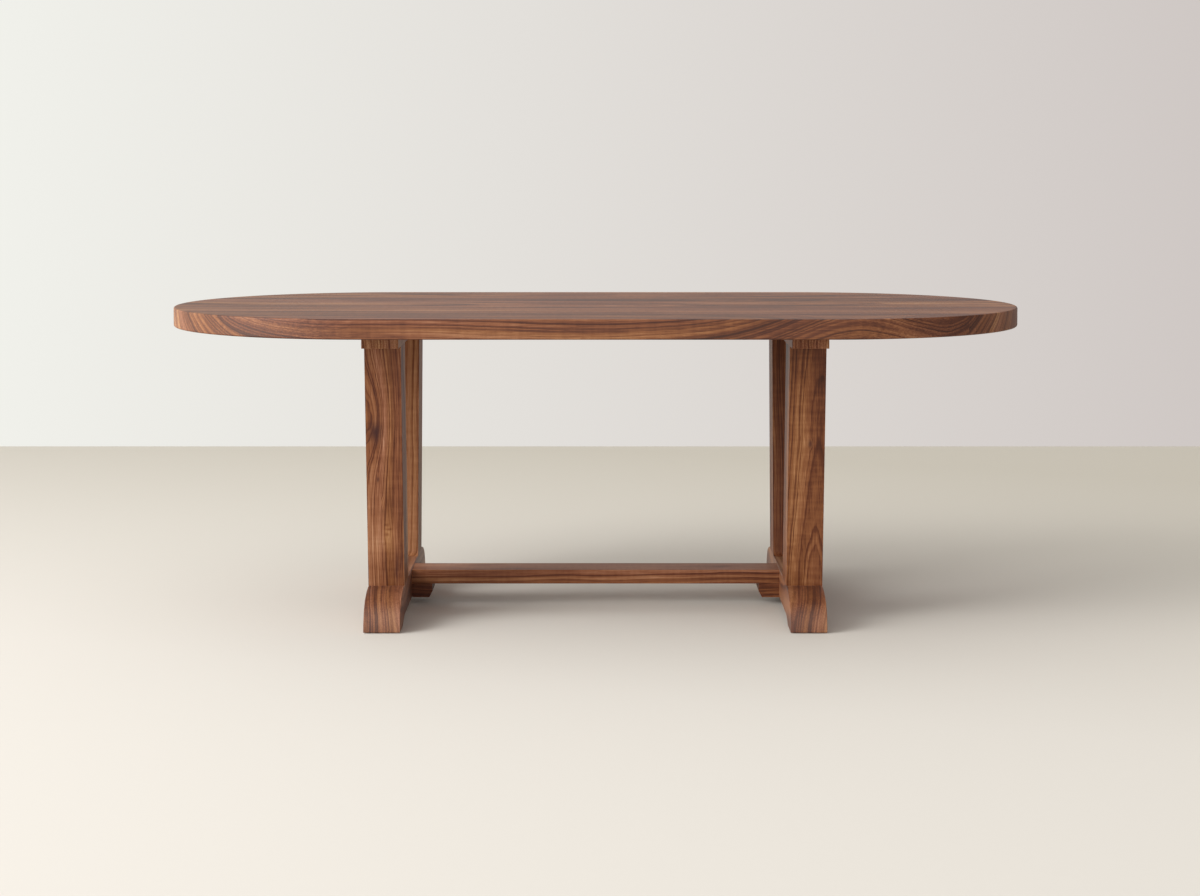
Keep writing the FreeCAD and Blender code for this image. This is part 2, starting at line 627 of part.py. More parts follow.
def make_top_fixings():
    """Bolts and washers in the bearers' recesses, and the threaded inserts that they screw into."""
    bolt = new_body("bolt")
    shank = "washer_thickness + bearer_thickness - bolt_recess + bolt_reach"
    turned(bolt, [
        ("0", "-bolt_head_height"),
        ("bolt_flat_share * bolt_head_diameter / 2", "-bolt_head_height"),
        ("bolt_head_diameter / 2", "-bolt_rim_share * bolt_head_height"),
        ("bolt_head_diameter / 2", "0"),
        ("bolt_diameter / 2", "0"),
        ("bolt_diameter / 2", shank),
        ("0", shank),
    ])
    socket = new_sketch(bolt, "XY_Plane", "-bolt_head_height")
    half, corner = "bolt_socket_width / 2", "bolt_socket_width / sqrt(3)"
    polygon(socket, [
        (corner, "0"), (f"{corner} / 2", half), (f"-{corner} / 2", half),
        (f"-{corner}", "0"), (f"-{corner} / 2", f"-{half}"), (f"{corner} / 2", f"-{half}"),
    ])
    pocket(bolt, socket, "bolt_socket_depth", along_normal=True)

    washer = new_body("washer")
    bore = "bolt_diameter / 2 + joint_clearance"
    turned(washer, [
        (bore, "0"),
        ("washer_diameter / 2", "0"),
        ("washer_diameter / 2", "washer_thickness"),
        (bore, "washer_thickness"),
    ])

    insert = new_body("insert")
    turned(insert, [
        (bore, "0"),
        ("insert_diameter / 2", "0"),
        ("insert_diameter / 2", "insert_length"),
        (bore, "insert_length"),
    ])

    upright = FreeCAD.Rotation()
    spots = [(f"{direction} * {TRESTLE_MIDDLE}", f"{way} * {bolt_place}")
             for side, direction in SIDES for bolt_place in BOLT_PLACES for end, way in ENDS]
    head_level = f"{BEARER_UNDERSIDE} + bolt_recess - washer_thickness"
    make_group("top_bolts", bolt, [(x, y, head_level, upright) for x, y in spots])
    make_group("top_washers", washer, [(x, y, head_level, upright) for x, y in spots])
    make_group("top_inserts", insert, [(x, y, TOP_UNDERSIDE, upright) for x, y in spots])


def make_screw(name, length):
    """A wood screw that points up, with the underside of its head at the origin."""
    screw = new_body(name)
    turned(screw, [
        ("0", "-screw_head_height"),
        ("screw_head_diameter / 2", "-screw_head_height"),
        ("screw_head_diameter / 2", "0"),
        ("screw_diameter / 2", "0"),
        ("screw_diameter / 2", f"{length} - screw_tip_length"),
        ("0", length),
    ])
    return screw


def make_screws():
    """Two upright and two level screws in each stretcher block."""
    upright = FreeCAD.Rotation()
    make_group("stretcher_screws", make_screw("upright_screw", "stretcher_screw_length"), [
        (f"{direction} * {STRETCHER_SCREW_PLACE}", f"{way} * stretcher_screw_spread / 2",
         f"{UNDERSIDE_LEVEL} + screw_sink", upright)
        for side, direction in SIDES for end, way in ENDS])
    make_group("block_screws", make_screw("level_screw", "block_screw_length"), [
        (f"{direction} * ({FOOT_INNER_FACE} - block_length + screw_sink)",
         f"{way} * block_screw_spread / 2", BLOCK_SCREW_LEVEL,
         FreeCAD.Rotation(FreeCAD.Vector(0, 1, 0), direction * 90))
        for side, direction in SIDES for end, way in ENDS])


def make_glide(side, direction, end, way):
    """A round glide under a toe, with a pin driven into the foot."""
    glide = new_body(f"{side}_{end}_glide")
    place(glide, f"{direction} * {TRESTLE_MIDDLE}", f"{way} * {GLIDE_PLACE}")
    turned(glide, [
        ("0", "0"),
        ("glide_diameter / 2", "0"),
        ("glide_diameter / 2", "glide_thickness"),
        ("glide_pin_diameter / 2", "glide_thickness"),
        ("glide_pin_diameter / 2", "glide_thickness + glide_pin_length"),
        ("0", "glide_thickness + glide_pin_length"),
    ])
    keep(glide, f"{side}_{end}_glide")


# Build, check and write

make_top()
make_stretcher()
for side, direction in SIDES:
    make_foot(side, direction)
    make_bearer(side, direction)
    make_block(side, direction)
    for end, way in ENDS:
        make_post(side, direction, end, way)
        make_glide(side, direction, end, way)
make_top_fixings()
make_screws()
doc.recompute()

for thing in doc.Objects:
    if "Invalid" in thing.State or "Error" in thing.State:
        raise RuntimeError(f"{thing.Label} did not compute")
    if thing.TypeId == "PartDesign::Pocket" and thing.Shape.Volume >= thing.BaseFeature.Shape.Volume:
        raise RuntimeError(f"{thing.Label} cuts nothing")
for node in nodes:
    if node.Shape.isNull() or not node.Shape.isValid():
        raise RuntimeError(f"{node.Label} has no valid shape")

os.makedirs("parts", exist_ok=True)
for node in nodes:
    node.Shape.exportStep(f"parts/{node.Label}.step")
    print(node.Label, len(node.Shape.Solids), "solids", round(node.Shape.Volume / 1000, 1), "cm3")
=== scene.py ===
# %% [markdown]
# An oval walnut dining table, dressed around its CAD frame. The frame holds every piece at its real size
# and place. This lesson rebuilds the top, posts, feet and stretcher with softened edges, gives each piece
# its own walnut, and keeps the CAD solids of the bored rails and the hardware, with finishes of their own.

# %% Load the frame
import math
from collections import namedtuple

import bmesh
import bpy
from mathutils import Euler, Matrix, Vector


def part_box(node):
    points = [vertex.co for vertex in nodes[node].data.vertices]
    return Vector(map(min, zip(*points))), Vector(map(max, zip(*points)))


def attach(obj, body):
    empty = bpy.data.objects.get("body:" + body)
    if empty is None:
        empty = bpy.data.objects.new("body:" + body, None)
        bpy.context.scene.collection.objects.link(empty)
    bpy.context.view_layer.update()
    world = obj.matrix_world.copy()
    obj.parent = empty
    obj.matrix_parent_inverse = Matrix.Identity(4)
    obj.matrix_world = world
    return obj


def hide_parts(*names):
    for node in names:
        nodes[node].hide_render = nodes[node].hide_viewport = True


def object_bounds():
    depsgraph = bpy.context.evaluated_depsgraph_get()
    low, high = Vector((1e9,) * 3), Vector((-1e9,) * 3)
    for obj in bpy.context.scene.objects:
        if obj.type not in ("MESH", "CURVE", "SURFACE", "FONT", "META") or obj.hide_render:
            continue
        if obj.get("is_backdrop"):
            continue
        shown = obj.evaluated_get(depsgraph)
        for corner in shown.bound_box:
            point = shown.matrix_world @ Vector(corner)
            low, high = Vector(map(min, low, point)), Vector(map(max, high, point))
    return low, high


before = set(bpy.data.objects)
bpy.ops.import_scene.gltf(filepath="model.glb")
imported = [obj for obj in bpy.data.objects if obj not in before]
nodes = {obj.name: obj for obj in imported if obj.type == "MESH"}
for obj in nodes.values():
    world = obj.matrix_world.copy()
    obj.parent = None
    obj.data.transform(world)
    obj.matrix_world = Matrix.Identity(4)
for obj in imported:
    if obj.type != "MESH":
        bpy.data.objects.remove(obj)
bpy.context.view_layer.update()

# %% [markdown]
# The photograph was taken with a level camera and a lowered frame, which keeps upright lines upright. A
# shift alone does that in Blender, but the other views keep the shift too, and the table would slip out
# of the picture there. So a smaller shift shares the work with a slight tilt down. The lens is worked
# out from a focal length measured in the photograph's pixels.

# %% Camera
FOCAL_PIXELS, PICTURE_PIXELS = 2305.6, 1200
TILT_DOWN, SHIFT_DOWN = math.radians(3.176), 0.14
CAMERA_PLACE = (0.0112, -5.8590, 1.1495)
SENSOR_WIDTH, FARTHEST_SEEN = 36, 200
camera = bpy.data.objects.new("camera", bpy.data.cameras.new("camera"))
bpy.context.scene.collection.objects.link(camera)
bpy.context.scene.camera = camera
camera.location = CAMERA_PLACE
camera.rotation_euler = (math.pi / 2 - TILT_DOWN, 0, 0)
camera.data.sensor_width = SENSOR_WIDTH
camera.data.lens = FOCAL_PIXELS / PICTURE_PIXELS * SENSOR_WIDTH
camera.data.shift_y = -SHIFT_DOWN
camera.data.clip_end = FARTHEST_SEEN
print("camera with a lens of", round(camera.data.lens, 1), "mm")

# %% [markdown]
# Every finish, the floor and the studio are small networks of shader nodes. They could be wired by hand
# in the editor, but in a script that takes many lines. A few helpers add a node with its settings and
# links in one call, so that the networks below read like formulas.

# %% Helpers for shader nodes


def new_material(name):
    """A material with its node tree and its shader."""
    material = bpy.data.materials.new(name)
    material.use_nodes = True
    tree = material.node_tree
    return material, tree, tree.nodes["Principled BSDF"]


def add(tree, kind, inputs=(), **settings):
    """A node with its settings, and its inputs by name or number as values or links."""
    made = tree.nodes.new(kind)
    for name, value in settings.items():
        setattr(made, name, value)
    for name, value in dict(inputs).items():
        if isinstance(value, bpy.types.NodeSocket):
            tree.links.new(value, made.inputs[name])
        else:
            made.inputs[name].default_value = value
    return made


def maths(tree, operation, *values, clamp=False):
    """The answer of a Math node to values or links."""
    made = add(tree, "ShaderNodeMath", enumerate(values), operation=operation, use_clamp=clamp)
    return made.outputs[0]


def vectors(tree, operation, *values):
    """The answer of a Vector Math node: a number for a length or a dot product, else a vector."""
    made = add(tree, "ShaderNodeVectorMath", enumerate(values), operation=operation)
    return made.outputs["Value" if operation in ("LENGTH", "DOT_PRODUCT") else "Vector"]


# %% [markdown]
# Colour in nature drifts and never repeats, so a picture that is tiled over a surface soon looks printed.
# Noise does better. It is stretched along one axis for anything that has a grain, and a colour ramp
# turns its numbers into colours. Mix blends two colours, and its colour sockets are picked by number,
# because the node has other sockets of the same names.

# %% Helpers for noise and colour
MIX_SHARE, MIX_FIRST, MIX_SECOND, MIX_RESULT = 0, 6, 7, 2
NOISE_MIDDLE, FINE, SMOOTH = 0.5, 2.0, 1.0


def stretched_noise(tree, place, stretch, detail=FINE, output="Fac"):
    """Noise whose features are one part in stretch of a metre along each axis."""
    spread = vectors(tree, "MULTIPLY", place, stretch)
    made = add(tree, "ShaderNodeTexNoise", {"Vector": spread, "Scale": 1.0, "Detail": detail})
    return made.outputs[output]


def ramp(tree, value, stops):
    """Colours that follow a value through stops, each a position and a colour."""
    made = add(tree, "ShaderNodeValToRGB", {0: value})
    elements = made.color_ramp.elements
    while len(elements) < len(stops):
        elements.new(0.5)
    for element, (position, colour) in zip(elements, stops):
        element.position = position
        element.color = (*colour, 1)
    return made.outputs[0]


def mix(tree, share, first, second, blend="MIX"):
    """Two colours, blended by a share."""
    inputs = {MIX_SHARE: share, MIX_FIRST: first, MIX_SECOND: second}
    made = add(tree, "ShaderNodeMix", inputs, data_type="RGBA", blend_type=blend)
    return made.outputs[MIX_RESULT]


# %% [markdown]
# The table stands on a plain pale floor. Any flat mesh would do, and a grid of one cell is the smallest
# that takes a shadow. Its far edge lies behind the table, and the pale studio shows above it. Its colour
# darkens a little towards the back and the right: a painted shade for the light that falls off away from
# the lamp.

# %% Floor
FLOOR_HALF, FLOOR_BACK = 14, 3.11
FLOOR_NEAR, FLOOR_FAR = (0.652, 0.627, 0.592), (0.515, 0.485, 0.428)
FLOOR_PAINTED_FALLOFF, FLOOR_START = (0.10, 0.25, 0.0), 0.25
FLOOR_ROUGHNESS, FLOOR_GLOSS = 0.7, 0.12


def mesh_object(bm, name):
    """An object of the scene, with a bmesh as its mesh."""
    mesh = bpy.data.meshes.new(name)
    bm.to_mesh(mesh)
    bm.free()
    made = bpy.data.objects.new(name, mesh)
    bpy.context.scene.collection.objects.link(made)
    return made


ground = bmesh.new()
bmesh.ops.create_grid(ground, x_segments=1, y_segments=1, size=FLOOR_HALF)
bmesh.ops.translate(ground, vec=(0, FLOOR_BACK - FLOOR_HALF, 0), verts=ground.verts)
floor = mesh_object(ground, "floor")
pale_floor, floor_tree, floor_shader = new_material("pale_floor")
spot = add(floor_tree, "ShaderNodeTexCoord").outputs["Object"]
# Painted shade: the floor's colour darkens towards the back and the right, where the light falls off.
painted_falloff = maths(floor_tree, "ADD", vectors(floor_tree, "DOT_PRODUCT", spot, FLOOR_PAINTED_FALLOFF), FLOOR_START)
floor_with_painted_falloff = ramp(floor_tree, painted_falloff, [(0.0, FLOOR_NEAR), (1.0, FLOOR_FAR)])
floor_tree.links.new(floor_with_painted_falloff, floor_shader.inputs["Base Color"])
floor_shader.inputs["Roughness"].default_value = FLOOR_ROUGHNESS
floor_shader.inputs["Specular IOR Level"].default_value = FLOOR_GLOSS
floor.data.materials.append(pale_floor)
floor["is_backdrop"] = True
print("floor", 2 * FLOOR_HALF, "m wide, with its far edge", FLOOR_BACK, "m behind the table's middle")

# %% [markdown]
# The table is lit from the left front, with soft shadows. A sun or a small lamp would draw them hard, so
# the key is one big area light, high at the left front. It is turned to the table and hidden from the
# camera. The Standard view transform shows the colours as they are mixed here.

# %% Key light
KEY_PLACE, KEY_AIM = Vector((-6.9, -3.45, 4.1)), Vector((0, 0, 0.3))
KEY_SIZE, KEY_POWER, KEY_COLOUR = 4.7, 540, (1.0, 0.985, 0.97)
key = bpy.data.objects.new("key_light", bpy.data.lights.new("key_light", "AREA"))
key.data.size = KEY_SIZE
key.data.energy = KEY_POWER
key.data.color = KEY_COLOUR
key.location = KEY_PLACE
key.rotation_euler = (KEY_AIM - KEY_PLACE).to_track_quat("-Z", "Y").to_euler()
key.visible_camera = False
bpy.context.scene.collection.objects.link(key)
bpy.context.scene.view_settings.view_transform = "Standard"
print("one key light of", KEY_POWER, "W and", KEY_SIZE, "m across")

# %% [markdown]
# The fill is a bright studio all round, and it is what the polished top reflects at a low angle. More
# lamps could give it, but each would draw its own shadow, so the world itself glows. It is brighter on
# the left than on the right, as a room lit from one side is, with the soft glow of a window at the left
# front and a little more light from the front. Its tint turns warmer to the right.

# %% Studio fill
STUDIO_MIDDLE, STUDIO_SLOPE, FRONT_FILL = 0.75, -0.50, 0.30
WINDOW_GLOW, WINDOW_WAY, WINDOW_FOCUS = 4.3, (-0.92, -0.39, 0.0), 6.0
TINT_MIDDLE, TINT_SLOPE = 0.5, 2.0
STUDIO_TINT = [(0.0, (1.0, 1.0, 0.945)), (1.0, (1.0, 0.925, 0.89))]
world = bpy.data.worlds.new("studio")
bpy.context.scene.world = world
world.use_nodes = True
room = world.node_tree
aim = add(room, "ShaderNodeTexCoord").outputs["Generated"]
axes = add(room, "ShaderNodeSeparateXYZ", {0: aim}).outputs
glow = maths(room, "MULTIPLY_ADD", axes["X"], STUDIO_SLOPE, STUDIO_MIDDLE)
towards_window = maths(room, "MAXIMUM", vectors(room, "DOT_PRODUCT", aim, WINDOW_WAY), 0.0)
glow = maths(room, "MULTIPLY_ADD", maths(room, "POWER", towards_window, WINDOW_FOCUS), WINDOW_GLOW, glow)
towards_front = maths(room, "MAXIMUM", maths(room, "MULTIPLY", axes["Y"], -1.0), 0.0)
glow = maths(room, "MULTIPLY_ADD", towards_front, FRONT_FILL, glow)
tint = ramp(room, maths(room, "MULTIPLY_ADD", axes["X"], TINT_SLOPE, TINT_MIDDLE), STUDIO_TINT)
backdrop = room.nodes["Background"]
room.links.new(tint, backdrop.inputs["Color"])
room.links.new(glow, backdrop.inputs["Strength"])
print("studio fill of", STUDIO_MIDDLE, "ahead and a window of", WINDOW_GLOW, "at the left front")

# %% [markdown]
# Walnut is a stack of growth rings round the pith of its tree. A picture wrapped on the outside would
# break at every corner, so the figure is worked out in space: the distance from a pith line along X, bent
# by slow noise, gives rings that agree on faces, edges and end grain. The rings differ in width and in
# strength, as good and bad years do, and each darkens slowly and ends sharply.

# %% Growth rings
WARP_STRETCH, WARP_DETAIL = 5.0, 1.5
RIPPLE_STRETCH, RIPPLE_HEIGHT = (18, 70, 70), 0.0022
UNEVEN_SCALE, UNEVEN_WEIGHT = 0.45, 1.8
VIGOUR_SCALE, VIGOUR_GAIN, VIGOUR_BASE = 0.61, 3.2, -0.95
RING_STOPS = ((0.0, 0.3), (0.1, 0.0), (0.45, 0.1), (0.72, 0.75), (0.9, 1.0), (1.0, 0.3))


def pith_distance(tree, given):
    """How far a place lies from the pith, bent by noise and moved by the piece's marks."""
    place = given["Place"]
    stretch = {"X": given["Reach"], "Y": WARP_STRETCH, "Z": WARP_STRETCH}
    stretch = add(tree, "ShaderNodeCombineXYZ", stretch).outputs[0]
    warp = stretched_noise(tree, place, stretch, WARP_DETAIL, "Color")
    warp = vectors(tree, "SUBTRACT", warp, (NOISE_MIDDLE,) * 3)
    bent = vectors(tree, "ADD", vectors(tree, "MULTIPLY", warp, given["Wander"]), place)
    distance = vectors(tree, "LENGTH", vectors(tree, "MULTIPLY", bent, (0, 1, 1)))
    ripple = stretched_noise(tree, place, RIPPLE_STRETCH)
    distance = maths(tree, "MULTIPLY_ADD", ripple, RIPPLE_HEIGHT, distance)
    return maths(tree, "ADD", distance, given["Bulge"])


def ring_noise(tree, turns, scale):
    """Noise that changes from ring to ring."""
    made = add(tree, "ShaderNodeTexNoise", {"W": turns, "Scale": scale}, noise_dimensions="1D")
    return made.outputs["Fac"]


def growth_rings(tree, distance, spacing):
    """How much dark late wood there is, from 0 to 1, at a distance from the pith."""
    turns = maths(tree, "DIVIDE", distance, spacing)
    turns = maths(tree, "MULTIPLY_ADD", ring_noise(tree, turns, UNEVEN_SCALE), UNEVEN_WEIGHT, turns)
    late = ramp(tree, maths(tree, "FRACT", turns), [(at, (dark,) * 3) for at, dark in RING_STOPS])
    vigour = ring_noise(tree, turns, VIGOUR_SCALE)
    vigour = maths(tree, "MULTIPLY_ADD", vigour, VIGOUR_GAIN, VIGOUR_BASE, clamp=True)
    return maths(tree, "MULTIPLY", late, vigour)


# %% [markdown]
# Between its rings walnut has broad streaks and finer stripes that follow them, slow clouds of tone,
# fibres and open pores along the grain, and a curl that crosses it. One noise could not give all of
# these, so each is a noise of its own stretch, and its weight says how much it lightens or darkens the
# wood. Their sum is one level from dark to pale.

# %% Streaks, fibres and pores
LEVEL_BASE, RING_WEIGHT = -0.695, -0.40
STREAK_STRETCH, STREAK_WEIGHT = (0.5, 22, 22), 0.7
STRIPE_STRETCH, STRIPE_WEIGHT = (0.9, 95, 95), 0.8
CLOUD_STRETCH, CLOUD_WEIGHT = (3.0, 7, 7), 0.4
FIBRE_STRETCH, FIBRE_WEIGHT = (14, 420, 420), 0.6
PORE_STRETCH, PORE_WEIGHT = (48, 900, 900), -0.16
PORE_GAIN, PORE_BASE = 9.0, -5.6
CURL_STRETCH = (85, 14, 14)
AROUND_SCALE = 0.12


def log_bands(tree, place, distance):
    """Places that follow the log: along the grain, out from the pith, and slowly around it."""
    axes = add(tree, "ShaderNodeSeparateXYZ", {0: place}).outputs
    around = maths(tree, "MULTIPLY", maths(tree, "SUBTRACT", axes["Y"], axes["Z"]), AROUND_SCALE)
    return add(tree, "ShaderNodeCombineXYZ", {"X": axes["X"], "Y": distance, "Z": around}).outputs[0]


def open_pores(tree, place):
    """Only the peaks of a fine noise, as short dark pores."""
    peaks = stretched_noise(tree, place, PORE_STRETCH, SMOOTH)
    return maths(tree, "MULTIPLY_ADD", peaks, PORE_GAIN, PORE_BASE, clamp=True)


def wood_level(tree, given, bands, rings, fibre, pores):
    """How pale the wood is, before a colour ramp."""
    curl = stretched_noise(tree, given["Place"], CURL_STRETCH, SMOOTH)
    curl = maths(tree, "SUBTRACT", curl, NOISE_MIDDLE)
    level = LEVEL_BASE
    for amount, weight in ((stretched_noise(tree, bands, STREAK_STRETCH), STREAK_WEIGHT),
                           (stretched_noise(tree, bands, STRIPE_STRETCH), STRIPE_WEIGHT),
                           (stretched_noise(tree, given["Place"], CLOUD_STRETCH, SMOOTH), CLOUD_WEIGHT),
                           (fibre, FIBRE_WEIGHT), (rings, RING_WEIGHT), (pores, PORE_WEIGHT),
                           (curl, given["Curl"])):
        level = maths(tree, "MULTIPLY_ADD", amount, weight, level)
    return maths(tree, "ADD", level, given["Tone"])


# %% [markdown]
# The visible wood is all walnut. Each piece could hold the whole figure in its own material, but then a
# change would have to be made many times, so one node group holds it and every walnut uses that. The
# level becomes a colour from the dark of late wood to the pale of a golden streak, and a slow tint makes
# some bands cooler and some warmer. Fibres make the surface a little rougher, and pores are tiny hollows.

# %% The walnut figure as a node group
WALNUT_STOPS = [(0.0, (0.040, 0.010, 0.004)), (0.3, (0.092, 0.0255, 0.009)), (0.55, (0.186, 0.066, 0.024)),
                (0.8, (0.292, 0.133, 0.060)), (1.0, (0.43, 0.245, 0.132))]
TINT_STRETCH = (0.7, 30, 30)
TINT_STOPS = [(0.35, (0.97, 0.92, 1.08)), (0.65, (1.03, 1.04, 0.95))]
ROUGH_BASE, FIBRE_ROUGHNESS = 0.42, 0.20
FIBRE_HEIGHT, PORE_HEIGHT = 0.5, -1.0
FIGURE_NUMBERS = ("Spacing", "Bulge", "Tone", "Curl", "Wander", "Reach")


def figure_group():
    """An empty node group with the figure's sockets, and what it is given."""
    tree = bpy.data.node_groups.new("walnut_figure", "ShaderNodeTree")
    tree.interface.new_socket("Place", in_out="INPUT", socket_type="NodeSocketVector")
    for name in FIGURE_NUMBERS:
        tree.interface.new_socket(name, in_out="INPUT", socket_type="NodeSocketFloat")
    tree.interface.new_socket("Colour", in_out="OUTPUT", socket_type="NodeSocketColor")
    for name in ("Roughness", "Height"):
        tree.interface.new_socket(name, in_out="OUTPUT", socket_type="NodeSocketFloat")
    return tree, tree.nodes.new("NodeGroupInput").outputs


figure, given = figure_group()
distance = pith_distance(figure, given)
rings = growth_rings(figure, distance, given["Spacing"])
bands = log_bands(figure, given["Place"], distance)
fibre = stretched_noise(figure, given["Place"], FIBRE_STRETCH)
pores = open_pores(figure, given["Place"])
colour = ramp(figure, wood_level(figure, given, bands, rings, fibre, pores), WALNUT_STOPS)
band_tint = ramp(figure, stretched_noise(figure, bands, TINT_STRETCH, SMOOTH), TINT_STOPS)
colour = mix(figure, 1.0, colour, band_tint, "MULTIPLY")
roughness = maths(figure, "MULTIPLY_ADD", fibre, FIBRE_ROUGHNESS, ROUGH_BASE)
height = maths(figure, "MULTIPLY_ADD", pores, PORE_HEIGHT, maths(figure, "MULTIPLY", fibre, FIBRE_HEIGHT))
add(figure, "NodeGroupOutput", {"Colour": colour, "Roughness": roughness, "Height": height})
print("walnut figure of", len(figure.nodes), "nodes")

# %% [markdown]
# Round a branch the rings bend and the wood changes its shade. That could be painted on a picture, but
# paint would stop at a corner, so each mark is a soft mound in space with a centre and a spread. It says
# how far the rings move, how much paler the wood gets, and how strongly the dark of a knot covers it. A
# little noise makes its outline ragged, because a smooth oval would look drawn. Some marks below use the
# same mound for painted light and painted shade, which make a face paler or darker where its light differs.

# %% Marks in the wood
Mark = namedtuple("Mark", "centre spread swell lift dark", defaults=(0.0, 0.0, 0.0))
ACROSS_ALL, THROUGH = 2.0, 1.0
RAGGED_STRETCH, RAGGED_REACH = (42, 42, 26), 0.009
BELL_POWER = -0.5


def ragged_place(tree, place):
    """Places moved by a few millimetres of noise."""
    stray = stretched_noise(tree, place, RAGGED_STRETCH, output="Color")
    return vectors(tree, "MULTIPLY_ADD", stray, (RAGGED_REACH,) * 3, place)


def mound(tree, place, mark):
    """A bell curve in space: one at the mark's centre, and almost nothing past three spreads."""
    near = vectors(tree, "DIVIDE", vectors(tree, "SUBTRACT", place, mark.centre), mark.spread)
    square = vectors(tree, "DOT_PRODUCT", near, near)
    return maths(tree, "EXPONENT", maths(tree, "MULTIPLY", square, BELL_POWER))


# %% [markdown]
# Each piece is sawn from its own place in a log, so each gets a walnut of its own. A Mapping node turns
# the piece's grain to the figure's X axis and moves the log's heart to its middle. A heart far to one
# side gives straight lines, and one just under a face gives pointed arches on it. Turning the object
# would do the same to the grain, but it would leave its place in the frame. Spacing is the width of a
# ring in metres, curl is how strongly bands cross the grain, wander is how far the rings stray, and reach
# is how often they do so in a metre of grain.

# %% One walnut per piece
ALONG_X, ALONG_Y = (0, 0, 0), (0, 0, -math.pi / 2)
KNOT_DARK = (0.036, 0.010, 0.009, 1)
BUMP_STRENGTH, BUMP_DEPTH = 0.12, 0.0004


def walnut(node, grain, heart, seed=0.0, tone=0.0, spacing=0.007, curl=0.15, wander=0.03, reach=2.4,
           gloss=0.22, marks=()):
    """The walnut of a piece: its grain as angles, a point of its log's heart, its figure and its marks."""
    material, tree, shader = new_material(f"walnut_{node}")
    place = add(tree, "ShaderNodeTexCoord").outputs["Object"]
    moved = Vector((seed, 0, 0)) - Euler(grain).to_matrix() @ Vector(heart)
    turned = add(tree, "ShaderNodeMapping", {"Vector": place, "Rotation": grain, "Location": moved})
    ragged = ragged_place(tree, place) if marks else place
    bulge, shade, darks = 0.0, tone, []
    for mark in marks:
        bell = mound(tree, ragged, mark)
        bulge = maths(tree, "MULTIPLY_ADD", bell, mark.swell, bulge)
        shade = maths(tree, "MULTIPLY_ADD", bell, mark.lift, shade)
        if mark.dark:
            darks.append(maths(tree, "MULTIPLY", bell, mark.dark))
    figured = {"Place": turned.outputs[0], "Spacing": spacing, "Bulge": bulge, "Tone": shade, "Curl": curl,
               "Wander": wander, "Reach": reach}
    wood = add(tree, "ShaderNodeGroup", figured, node_tree=figure).outputs
    colour = wood["Colour"]
    for dark in darks:
        colour = mix(tree, dark, colour, KNOT_DARK)
    bump = {"Height": wood["Height"], "Strength": BUMP_STRENGTH, "Distance": BUMP_DEPTH}
    tree.links.new(colour, shader.inputs["Base Color"])
    tree.links.new(wood["Roughness"], shader.inputs["Roughness"])
    tree.links.new(add(tree, "ShaderNodeBump", bump).outputs[0], shader.inputs["Normal"])
    shader.inputs["Specular IOR Level"].default_value = gloss
    return material


# %% [markdown]
# The pieces of this table are flat shapes sawn from planks, so each is drawn as an outline and given its
# thickness. A curve object could hold the outline too, but a bmesh goes from outline to finished edge
# without a change of kind. Straight stretches need only their end points, and round ones are spun.

# %% Helpers for drawing a piece
Arc = namedtuple("Arc", "centre axis angle")
ARC_STEP, SAME_POINT = math.radians(2.5), 1e-6
X_AXIS, Z_AXIS = Vector((1, 0, 0)), Vector((0, 0, 1))


def only(kind, geometry):
    """The vertices, edges or faces among mixed geometry."""
    return [part for part in geometry if isinstance(part, kind)]


def draw(bm, start, *moves):
    """A closed face, with points as its straight moves and arcs as its round ones."""
    tip = bm.verts.new(start)
    for move in moves:
        if isinstance(move, Arc):
            steps = 2 * math.ceil(abs(move.angle) / ARC_STEP / 2)
            swept = bmesh.ops.spin(bm, geom=[tip], cent=move.centre, axis=move.axis, angle=move.angle,
                                   steps=steps)
            tip = only(bmesh.types.BMVert, swept["geom_last"])[0]
        else:
            following = bm.verts.new(move)
            bm.edges.new((tip, following))
            tip = following
    first = next(v for v in bm.verts if (v.co - Vector(start)).length < SAME_POINT)
    if (tip.co - first.co).length > SAME_POINT:
        bm.edges.new((tip, first))
    bmesh.ops.remove_doubles(bm, verts=bm.verts, dist=SAME_POINT)
    return bmesh.ops.contextual_create(bm, geom=bm.edges[:])["faces"][0]


def thicken(bm, face, way):
    """Extrude a drawn face along a vector into a closed solid."""
    grown = bmesh.ops.extrude_face_region(bm, geom=[face], use_keep_orig=True)
    bmesh.ops.translate(bm, vec=way, verts=only(bmesh.types.BMVert, grown["geom"]))
    bmesh.ops.recalc_face_normals(bm, faces=bm.faces)


# %% [markdown]
# A real edge is never a knife edge: a maker breaks each arris with a plane or paper, and that thin round
# is what catches the light. A Bevel modifier would round every sharp edge alike, so the bevel operator
# takes only chosen ones, and edges that close a joint stay sharp. Weighted normals then keep the large
# faces flat beside their small rounds.

# %% Helpers for edges and finishing
ARRIS, ARRIS_STEPS = 0.0013, 3
BREAK_ANGLE, SHARP_ANGLE, SAME_LEVEL = math.radians(30), math.radians(40), 1e-5


def spans(edge, axis):
    """Whether an edge goes any way along an axis."""
    return abs((edge.verts[0].co - edge.verts[1].co).dot(axis)) > SAME_LEVEL


def soften(bm, radius=ARRIS, steps=ARRIS_STEPS, chosen=lambda edge: True):
    """Round the sharp edges for which the test says yes."""
    sharp = [e for e in bm.edges if e.is_manifold and e.calc_face_angle(0) > BREAK_ANGLE and chosen(e)]
    bmesh.ops.bevel(bm, geom=sharp, offset=radius, offset_type="OFFSET", segments=steps, profile=0.5,
                    affect="EDGES", clamp_overlap=True, material=-1)


def finish_piece(bm, node, material):
    """Turn a bmesh into a piece that rides with the table in place of its CAD node."""
    piece = mesh_object(bm, f"wood_{node}")
    piece.data.shade_smooth()
    piece.data.set_sharp_from_angle(angle=SHARP_ANGLE)
    piece.data.materials.append(material)
    piece.modifiers.new("flat_faces", "WEIGHTED_NORMAL").keep_sharp = True
    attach(piece, "root")
    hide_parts(node)
    print(piece.name, len(piece.data.polygons), "faces")


